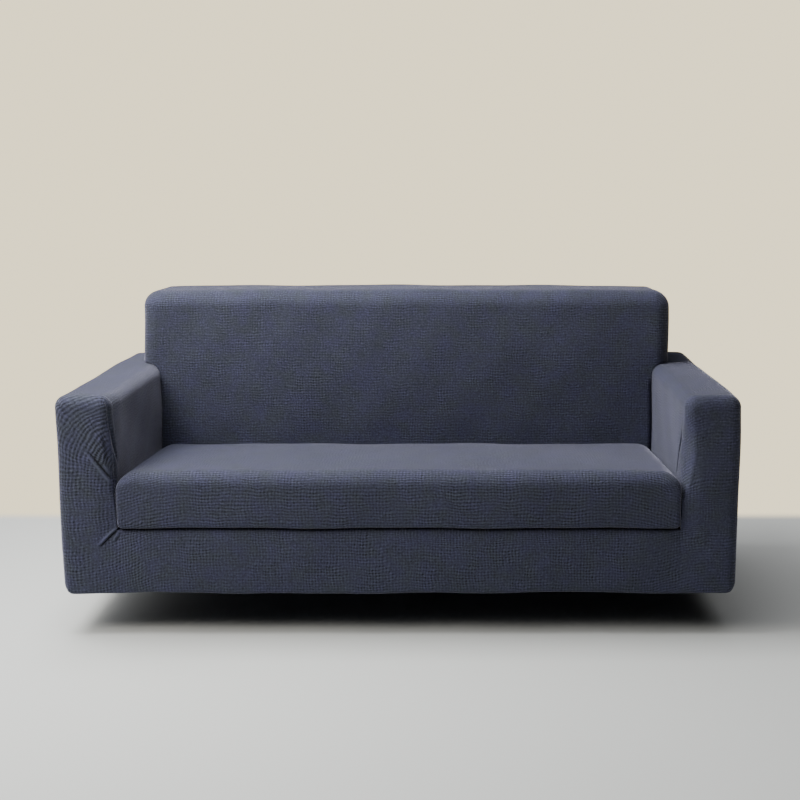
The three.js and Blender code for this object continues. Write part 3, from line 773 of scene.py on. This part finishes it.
def front_panel():
    """Arm fronts and base front in one piece, turned round every edge to its seams."""
    sheet = Sheet(front_form, front_weave)
    creased = cuts(ARM_INNER, ARM_INNER + CREASED_WIDTH, cell=FOLD_CELL)
    left_across = np.concatenate([creased, cuts(creased[-1], HALF_WIDTH, cell=FRONT_CELL)[1:]])
    right_across = cuts(ARM_INNER, HALF_WIDTH, cell=FRONT_CELL)
    heights = np.unique(np.concatenate([
        cuts(0, LOW_CREASES[0], cell=FRONT_CELL),
        cuts(LOW_CREASES[0], BASE_TOP, LOW_CREASES[1], cell=FOLD_CELL),
        cuts(LOW_CREASES[1], HIGH_CREASES[0], cell=FRONT_CELL),
        cuts(*HIGH_CREASES, cell=FOLD_CELL),
        cuts(HIGH_CREASES[1], ARM_TOP, cell=FRONT_CELL),
    ]))
    base_end = cuts(ARM_INNER - BASE_END, ARM_INNER, cell=FRONT_CELL)
    base_across = mirrored(np.concatenate([cuts(0, base_end[0], cell=BASE_CELL), base_end[1:]]))
    depths = finer_at_seams(cuts(0, ARM_ROUND, SEAM_SETBACK, cell=FRONT_CELL), last=True)
    base_front(sheet, base_across, heights[heights <= BASE_TOP], depths)
    for side, across in ((-1, left_across), (1, right_across)):
        arm_front(sheet, side, across, heights, depths)
    return sheet


def arm(side):
    """Inner face, top, outer face and hem, from the front seam to the rear seam."""
    sheet = Sheet(front_form, plain_weave)
    flipped = side < 0
    front_edge = SEAM_SETBACK + SEAM_GAP
    rear_edge = REAR_SEAM - SEAM_GAP
    depths = cuts(front_edge, ARM_INNER_END, rear_edge, cell=SHEET_CELL)
    depths = finer_at_seams(depths, first=True, last=True)
    arm_heights = cuts(0, TUCK_BOTTOM, ARM_TOP, cell=SHEET_CELL)
    tuck_heights = arm_heights[arm_heights >= TUCK_BOTTOM]
    under_back = ARM_INNER + ARM_ROUND
    top_across = cuts(ARM_INNER, under_back, HALF_WIDTH, cell=SHEET_CELL)
    hem_across = cuts(HALF_WIDTH - HEM_TURN, HALF_WIDTH, cell=SHEET_CELL)

    def start_at(depth, z):
        share = np.clip((depth - front_edge) / (ARM_INNER_END - front_edge), 0, 1)
        return between(share, inner_seam(z, side) + seam_gap(z, side), ARM_INNER_END)

    sheet.patch(
        depths, tuck_heights,
        lambda depth, z: (side * ARM_INNER, start_at(depth, z), z),
        lambda x, depth, z: (depth, ARM_TOP - z),
        flipped=not flipped,
        keep=lambda depth, z: depth < ARM_INNER_END,
    )
    sheet.patch(
        top_across, depths,
        lambda x, depth: (side * x, depth, ARM_TOP),
        lambda x, depth, z: (depth, ARM_INNER - np.abs(x)),
        flipped=flipped,
        keep=lambda x, depth: (depth < ARM_INNER_END) | (x > under_back),
    )
    sheet.patch(
        depths, arm_heights,
        lambda depth, z: (side * HALF_WIDTH, depth, z),
        lambda x, depth, z: (depth, z - ARM_TOP + ARM_INNER - HALF_WIDTH),
        flipped=flipped,
    )
    sheet.patch(
        hem_across, depths,
        lambda x, depth: (side * x, depth, 0),
        lambda x, depth, z: (depth, np.abs(x) - ARM_TOP + ARM_INNER - 2 * HALF_WIDTH),
        flipped=not flipped,
    )
    return sheet


def seat_panel():
    """Top, front and sides of the seat, turned under in front and down into the tucks."""
    sheet = Sheet(seat_form, seat_weave)
    xs = cuts(-SEAT_HALF_WIDTH, SEAT_HALF_WIDTH, cell=SHEET_CELL)
    ends = mirrored(cuts(SEAT_HALF_WIDTH - SEAT_TOP_CORNER, SEAT_HALF_WIDTH, cell=ROUND_CELL))
    xs = np.unique(np.concatenate([xs, ends]))
    xs = xs[np.concatenate([[True], np.diff(xs) > NARROWEST_CELL])]
    heights = cuts(SEAT_BOTTOM, TUCK_BOTTOM, SEAT_TOP, cell=SIDE_CELL)
    bend_start = SEAT_REAR - SEAT_FRONT - SEAT_BOTTOM_ROUND
    bend_end = bend_start + SEAT_BOTTOM_ROUND * math.pi / 2
    front_round = cuts(0, SEAT_TOP_ROUND, cell=ROUND_CELL)
    level = cuts(SEAT_TOP_ROUND, bend_start, cell=SHEET_CELL)
    bend = cuts(bend_start, bend_end, cell=BEND_CELL)
    drop = cuts(bend_end, bend_end + SEAT_REAR_DROP, cell=SHEET_CELL)
    depths = np.concatenate([front_round, level[1:]])
    top_depths = np.concatenate([depths, bend[1:], drop[1:]])
    under_depths = cuts(0, SEAM_SETBACK, cell=ROUND_CELL)
    sheet.patch(xs, heights, lambda x, z: (x, 0, z), lambda x, depth, z: (x, z))
    sheet.patch(
        xs, under_depths,
        lambda x, depth: (x, depth, SEAT_BOTTOM),
        lambda x, depth, z: (x, SEAT_BOTTOM - depth),
        flipped=True,
    )
    sheet.patch(
        xs, top_depths,
        lambda x, depth: (x, depth, SEAT_TOP),
        lambda x, depth, z: (x, SEAT_TOP + depth),
    )
    for side in (-1, 1):
        sheet.patch(
            depths, heights,
            lambda depth, z: (side * SEAT_HALF_WIDTH, depth, z),
            lambda x, depth, z: (x + side * depth, z),
            flipped=side < 0,
            keep=lambda depth, z: (z > TUCK_BOTTOM) | (depth < SEAT_TOP_ROUND),
        )
    return sheet


def inside_back():
    """Front of the back, and the border over its top and sides to the rear seam."""
    sheet = Sheet(inside_back_form, plain_weave)
    lower_across = cuts(0, SEAT_HALF_WIDTH, cell=SHEET_CELL)
    ledge_across = cuts(SEAT_HALF_WIDTH, BACK_HALF_WIDTH, cell=ROUND_CELL)
    lower_heights = cuts(TUCK_BOTTOM, LEDGE, cell=SHEET_CELL)
    upper_heights = cuts(LEDGE, LEDGE + LEDGE_SETTLE, BACK_TOP, cell=BACK_CELL)
    heights = np.concatenate([lower_heights, upper_heights[1:]])
    border_depths = cuts(0, BACK_FRONT_ROUND, MOUNT_DEPTH, 2 * MOUNT_DEPTH, cell=SHEET_CELL)
    border_depths = finer_at_seams(border_depths, last=True)
    tuck_depths = cuts(0, BACK_SIDE_TUCK, cell=ROUND_CELL)

    def to_seam(depth, z):
        share = np.clip((depth - MOUNT_DEPTH) / MOUNT_DEPTH, 0, 1)
        seam = REAR_SEAM - SEAM_GAP - back_face(z)
        return np.where(depth > MOUNT_DEPTH, between(share, MOUNT_DEPTH, seam), depth)

    sheet.patch(mirrored(lower_across), heights, lambda x, z: (x, 0, z), lambda x, depth, z: (x, z))
    sheet.patch(
        mirrored(np.concatenate([lower_across, ledge_across])), border_depths,
        lambda x, depth: (x, to_seam(depth, BACK_TOP), BACK_TOP),
        lambda x, depth, z: (x, BACK_TOP + depth),
    )
    for side in (-1, 1):
        def beside_back(depth, z):
            height = stand_on_arm(BACK_HALF_WIDTH, z)
            return side * BACK_HALF_WIDTH, to_seam(depth, height), height

        flipped = side < 0
        sheet.patch(
            ledge_across, upper_heights,
            lambda x, z: (side * x, 0, stand_on_arm(x, z)),
            lambda x, depth, z: (x, z),
            flipped=flipped,
        )
        sheet.patch(
            border_depths, upper_heights, beside_back,
            lambda x, depth, z: (x + side * depth, z),
            flipped=flipped,
        )
        sheet.patch(
            tuck_depths, lower_heights,
            lambda depth, z: (side * SEAT_HALF_WIDTH, depth, z),
            lambda x, depth, z: (x + side * depth, z),
            flipped=flipped,
        )
    return sheet


def outside_back():
    """The rear of the back and of both arms, turned round every edge to its seams."""
    sheet = Sheet(outside_back_form, plain_weave)
    arm_xs = cuts(BACK_HALF_WIDTH, BACK_HALF_WIDTH + INSIDE_CORNER_FADE, HALF_WIDTH, cell=REAR_CELL)
    back_xs = cuts(0, BACK_HALF_WIDTH - BACK_CORNER, BACK_HALF_WIDTH, cell=REAR_CELL)
    all_xs = mirrored(np.concatenate([back_xs, arm_xs]))
    arm_zs = cuts(0, ARM_TOP, cell=REAR_CELL)
    back_zs = cuts(ARM_TOP, BACK_TOP, cell=REAR_CELL)
    depths = finer_at_seams(cuts(0, ARM_ROUND, SEAM_SETBACK, cell=SIDE_CELL), last=True)
    sheet.patch(all_xs, arm_zs, lambda x, z: (x, 0, z), lambda x, depth, z: (x, z), flipped=True)
    across_back = mirrored(back_xs)
    sheet.patch(across_back, back_zs, lambda x, z: (x, 0, z), lambda x, depth, z: (x, z), flipped=True)
    sheet.patch(
        across_back, depths,
        lambda x, depth: (x, depth, BACK_TOP),
        lambda x, depth, z: (x, BACK_TOP + depth),
        flipped=True,
    )
    sheet.patch(all_xs, depths, lambda x, depth: (x, depth, 0), lambda x, depth, z: (x, -depth))
    for side in (-1, 1):
        flipped = side > 0
        sheet.patch(
            depths, arm_zs,
            lambda depth, z: (side * HALF_WIDTH, depth, z),
            lambda x, depth, z: (x + side * depth, z),
            flipped=flipped,
        )
        sheet.patch(
            arm_xs, depths,
            lambda x, depth: (side * x, depth, ARM_TOP),
            lambda x, depth, z: (x, ARM_TOP + depth),
            flipped=flipped,
        )
        sheet.patch(
            depths, back_zs,
            lambda depth, z: (side * BACK_HALF_WIDTH, depth, z),
            lambda x, depth, z: (x + side * depth, z),
            flipped=flipped,
        )
    return sheet


# ---- Materials ----

def linear(hex_colour):
    """sRGB hex to linear red, green, blue and alpha."""
    channels = [int(hex_colour[i:i + 2], 16) / 255 for i in (1, 3, 5)]
    return (*(c / 12.92 if c <= 0.04045 else ((c + 0.055) / 1.055) ** 2.4 for c in channels), 1)


def add(tree, kind, links=None, **settings):
    """Adds a node. links gives each input a value or the output it is linked to."""
    node = tree.nodes.new(kind)
    for name, value in settings.items():
        setattr(node, name, value)
    for name, value in (links or {}).items():
        if isinstance(value, bpy.types.NodeSocket):
            tree.links.new(value, node.inputs[name])
        else:
            node.inputs[name].default_value = value
    return node


def new_material(name):
    material = bpy.data.materials.new(name)
    material.use_nodes = True
    material.node_tree.nodes.clear()
    return material, material.node_tree


def mottle(tree, place, size, low, high, detail=2.0):
    """Soft patches, about size millimetres wide, between the two values."""
    noise = add(tree, "ShaderNodeTexNoise", {
        "Vector": place, "Scale": 1000 / size, "Detail": detail,
    }).outputs["Fac"]
    return add(tree, "ShaderNodeMapRange", {
        "Value": noise, "From Min": 0.32, "From Max": 0.68, "To Min": low, "To Max": high,
    }).outputs[0]


def moved(tree, place, vector, size, reach):
    """The vector, moved by up to reach millimetres in patches of that size."""
    noise = add(tree, "ShaderNodeTexNoise", {"Vector": place, "Scale": 1000 / size, "Detail": 1.0})
    return add(tree, "ShaderNodeVectorMath", {
        0: noise.outputs["Fac"], 1: (reach / 500, reach / 500, 0), 2: vector,
    }, operation="MULTIPLY_ADD").outputs[0]


def ribs_along(tree, coordinate, pitch):
    """1 on a rib and -1 half way to the next one, with the pitch in millimetres."""
    turns = add(tree, "ShaderNodeMath", {
        0: coordinate, 1: 2000 * math.pi / pitch,
    }, operation="MULTIPLY").outputs[0]
    return add(tree, "ShaderNodeMath", {0: turns}, operation="COSINE").outputs[0]


def knit_checks(tree, place, u, v, raised):
    """Height of the checks: crisp in some places and pulled flat in others.

    Where the cloth is pulled its columns sink, so that the rows stand out, and a fold draws the
    checks flat.
    """
    pull = add(tree, "ShaderNodeAttribute", attribute_name="pull").outputs["Fac"]
    opened = add(tree, "ShaderNodeAttribute", attribute_name="opened").outputs["Fac"]
    column_share = add(tree, "ShaderNodeMath", {
        0: pull, 1: mottle(tree, place, size=35, low=-0.4, high=-1.6), 2: 1.0,
    }, operation="MULTIPLY_ADD").outputs[0]
    columns = add(tree, "ShaderNodeMath", {
        0: ribs_along(tree, u, CHECK), 1: column_share,
    }, operation="MULTIPLY").outputs[0]
    ribs = add(tree, "ShaderNodeMath", {
        0: ribs_along(tree, v, CHECK), 1: columns,
    }, operation="ADD").outputs[0]
    crisp = add(tree, "ShaderNodeMath", {
        0: mottle(tree, place, size=60, low=0.35, high=0.75),
        1: mottle(tree, place, size=9, low=0.3, high=1.4),
        2: opened,
    }, operation="MULTIPLY_ADD").outputs[0]
    taut = add(tree, "ShaderNodeMath", {0: raised}, operation="ABSOLUTE").outputs[0]
    crispness = add(tree, "ShaderNodeMath", {
        0: crisp, 1: taut,
    }, operation="SUBTRACT", use_clamp=True).outputs[0]
    checks = add(tree, "ShaderNodeMath", {0: ribs, 1: crispness}, operation="MULTIPLY").outputs[0]
    brushed = mottle(tree, place, size=4.5, low=-0.4, high=0.4)
    return add(tree, "ShaderNodeMath", {0: brushed, 1: checks}, operation="ADD").outputs[0]


def knit_relief(tree, checks, u, v):
    """Bump of the checks and of the loops on them."""
    loops = add(tree, "ShaderNodeMath", {
        0: ribs_along(tree, u, LOOP), 1: ribs_along(tree, v, LOOP),
    }, operation="MULTIPLY").outputs[0]
    height = add(tree, "ShaderNodeMath", {
        0: loops, 1: LOOP_SHARE, 2: checks,
    }, operation="MULTIPLY_ADD").outputs[0]
    return add(tree, "ShaderNodeBump", {
        "Height": height, "Strength": 1.0, "Distance": WEAVE_DEPTH / 1000,
    }).outputs[0]


def knit_colour(tree, place, checks, raised):
    """Two greyish blues on the ribs and pits painted dark with shade, with a painted highlight on a
    fold's ridge and painted shade in its groove.
    """
    ribs = add(tree, "ShaderNodeMix", {
        "Factor": mottle(tree, place, size=45, low=0, high=1, detail=3.0),
        "A": linear("#464863"),
        "B": linear("#444957"),
    }, data_type="RGBA").outputs[2]
    # Painted highlight and shade of the folds: a ridge, where the pits really close, is painted up to the
    # ribs' colour, brighter than around it, and a groove is painted down to the pits' dark as shade.
    level = add(tree, "ShaderNodeMath", {
        0: raised, 1: 0.6, 2: 0.5,
    }, operation="MULTIPLY_ADD").outputs[0]
    height = add(tree, "ShaderNodeMath", {
        0: checks, 1: 0.38, 2: level,
    }, operation="MULTIPLY_ADD").outputs[0]
    # The dark pit colour is painted shade in the hollows between the ribs; the bump gives the same checks
    # their relief.
    pit_shade_and_ribs = add(tree, "ShaderNodeMix", {
        "Factor": height, "A": linear("#0b0d15"), "B": ribs,
    }, data_type="RGBA", clamp_factor=True).outputs[2]
    return add(tree, "ShaderNodeVectorMath", {
        0: pit_shade_and_ribs, "Scale": mottle(tree, place, size=170, low=0.93, high=1.07, detail=4.0),
    }, operation="SCALE").outputs[0]


def stretch_jacquard_knit():
    """Polyester and spandex, knitted as a seersucker jacquard: matte, with small raised checks.

    The ribs between the checks catch the light through the bump, the pits between them are painted dark
    as their shade, and the brushed fibre gives the tops a soft pale sheen. The rows wander, because the
    yarn is elastic.
    """
    material, tree = new_material("stretch_jacquard_knit")
    cloth = add(tree, "ShaderNodeUVMap", uv_map="cloth").outputs["UV"]
    place = add(tree, "ShaderNodeTexCoord").outputs["Object"]
    raised = add(tree, "ShaderNodeAttribute", attribute_name="raised").outputs["Fac"]
    wandered = moved(tree, place, cloth, size=60, reach=7)
    wandered = moved(tree, place, wandered, size=15, reach=2.4)
    split = add(tree, "ShaderNodeSeparateXYZ", {0: wandered})
    u, v = split.outputs["X"], split.outputs["Y"]
    checks = knit_checks(tree, place, u, v, raised)
    knit = add(tree, "ShaderNodeBsdfPrincipled", {
        "Base Color": knit_colour(tree, place, checks, raised),
        "Roughness": 0.9,
        "Specular IOR Level": 0.3,
        "Sheen Weight": 0.55,
        "Sheen Roughness": 0.3,
        "Sheen Tint": linear("#cdcde2"),
        "Normal": knit_relief(tree, checks, u, v),
    })
    add(tree, "ShaderNodeOutputMaterial", {"Surface": knit.outputs[0]})
    return material


BACKDROP = "#eadcb9"
BACKDROP_GLOW = 2.05
BLEND_BEHIND = (0.41, 0.53)  # metres behind the origin over which the floor turns into the backdrop
BLEND_AWAY = (4.5, 8.0)  # and metres from the origin on all sides


def painted_floor():
    """Matte pale grey floor paint, which blends into the glow of the backdrop behind the cover."""
    material, tree = new_material("matte_floor_paint")
    place = add(tree, "ShaderNodeTexCoord").outputs["Object"]
    behind = add(tree, "ShaderNodeSeparateXYZ", {0: place}).outputs["Y"]
    away = add(tree, "ShaderNodeVectorMath", {0: place}, operation="LENGTH").outputs["Value"]

    def blend(value, reach):
        return add(tree, "ShaderNodeMapRange", {
            "Value": value, "From Min": reach[0], "From Max": reach[1],
        }, interpolation_type="SMOOTHSTEP").outputs[0]

    far = add(tree, "ShaderNodeMath", {
        0: blend(behind, BLEND_BEHIND), 1: blend(away, BLEND_AWAY),
    }, operation="MAXIMUM").outputs[0]
    paint = add(tree, "ShaderNodeBsdfPrincipled", {
        "Base Color": linear("#c0c2bf"), "Roughness": 0.6, "Specular IOR Level": 0.25,
    })
    glow = add(tree, "ShaderNodeEmission", {"Color": linear(BACKDROP), "Strength": BACKDROP_GLOW})
    surface = add(tree, "ShaderNodeMixShader", {0: far, 1: paint.outputs[0], 2: glow.outputs[0]})
    add(tree, "ShaderNodeOutputMaterial", {"Surface": surface.outputs[0]})
    return material


# ---- Stage, light and camera ----

CENTRE = to_metres(np.array([0, FULL_DEPTH / 2, BACK_TOP / 2]))
FLOOR_HEIGHT = to_metres(np.array([0, 0, -FLOOR_DROP]))[2]
FLOOR_RADIUS = 60  # metres
CAMERA_PLACE = np.array([146.6, -3325.5, 1106.9])
CAMERA_DIP = 0.1741  # radians below the level


def floor():
    bpy.ops.mesh.primitive_circle_add(
        vertices=96, radius=FLOOR_RADIUS, fill_type="NGON", location=(0, 0, FLOOR_HEIGHT)
    )
    disc = bpy.context.active_object
    disc.name = "floor"
    disc.data.materials.append(painted_floor())


def softbox(name, place, aim, size, power, colour):
    """A square lamp of that size in metres and power in watts, turned to its aim."""
    lamp = bpy.data.lights.new(name, "AREA")
    lamp.shape = "SQUARE"
    lamp.size = size
    lamp.energy = power
    lamp.color = linear(colour)[:3]
    holder = bpy.data.objects.new(name, lamp)
    holder.location = place
    towards = aim - holder.location
    holder.rotation_euler = towards.to_track_quat("-Z", "Y").to_euler()
    bpy.context.scene.collection.objects.link(holder)


def light_studio():
    """A bright soft ceiling, strongest up on the left, and a window on the left in front."""
    middle = Vector(CENTRE)
    softbox(
        "window", middle + Vector((-1.4, -1.3, 1.1)), middle + Vector((-0.4, 0, 0)),
        size=0.8, power=25, colour="#fffaf2",
    )
    softbox(
        "ceiling", middle + Vector((-1.15, -0.18, 2.2)), middle + Vector((-0.1, 0, 0)),
        size=1.6, power=130, colour="#ffffff",
    )
    world = bpy.data.worlds.new("studio")
    world.use_nodes = True
    tree = world.node_tree
    tree.nodes.clear()
    direction = add(tree, "ShaderNodeTexCoord").outputs["Generated"]
    up_left = (-0.45, 0.08, 0.88)
    upwards = add(tree, "ShaderNodeVectorMath", {0: direction, 1: up_left}, operation="DOT_PRODUCT")
    strength = add(tree, "ShaderNodeMapRange", {
        "Value": upwards.outputs["Value"],
        "From Min": 0.45, "From Max": 1.0, "To Min": 0.012, "To Max": 2.2,
    }, interpolation_type="SMOOTHSTEP")
    seen = add(tree, "ShaderNodeBackground", {"Color": linear(BACKDROP), "Strength": BACKDROP_GLOW})
    fill = add(tree, "ShaderNodeBackground", {
        "Color": linear("#efeff2"), "Strength": strength.outputs[0],
    })
    looked_at = add(tree, "ShaderNodeLightPath").outputs["Is Camera Ray"]
    surface = add(tree, "ShaderNodeMixShader", {0: looked_at, 1: fill.outputs[0], 2: seen.outputs[0]})
    add(tree, "ShaderNodeOutputWorld", {"Surface": surface.outputs[0]})
    bpy.context.scene.world = world


def camera():
    """A normal lens a little to the right of the middle, looking 10 degrees down."""
    lens = bpy.data.cameras.new("camera")
    lens.sensor_width = 36
    lens.lens = 58.5
    lens.shift_x = -0.068
    holder = bpy.data.objects.new("camera", lens)
    holder.location = to_metres(CAMERA_PLACE)
    holder.rotation_euler = (math.pi / 2 - CAMERA_DIP, 0, 0)
    bpy.context.scene.collection.objects.link(holder)
    bpy.context.scene.camera = holder


camera()
knit = stretch_jacquard_knit()
sew("front_panel", front_panel(), knit)
sew("seat_panel", seat_panel(), knit)
sew("inside_back", inside_back(), knit)
sew("outside_back", outside_back(), knit)
for name, side in (("arm_left", -1), ("arm_right", 1)):
    sew(name, arm(side), knit)
floor()
light_studio()
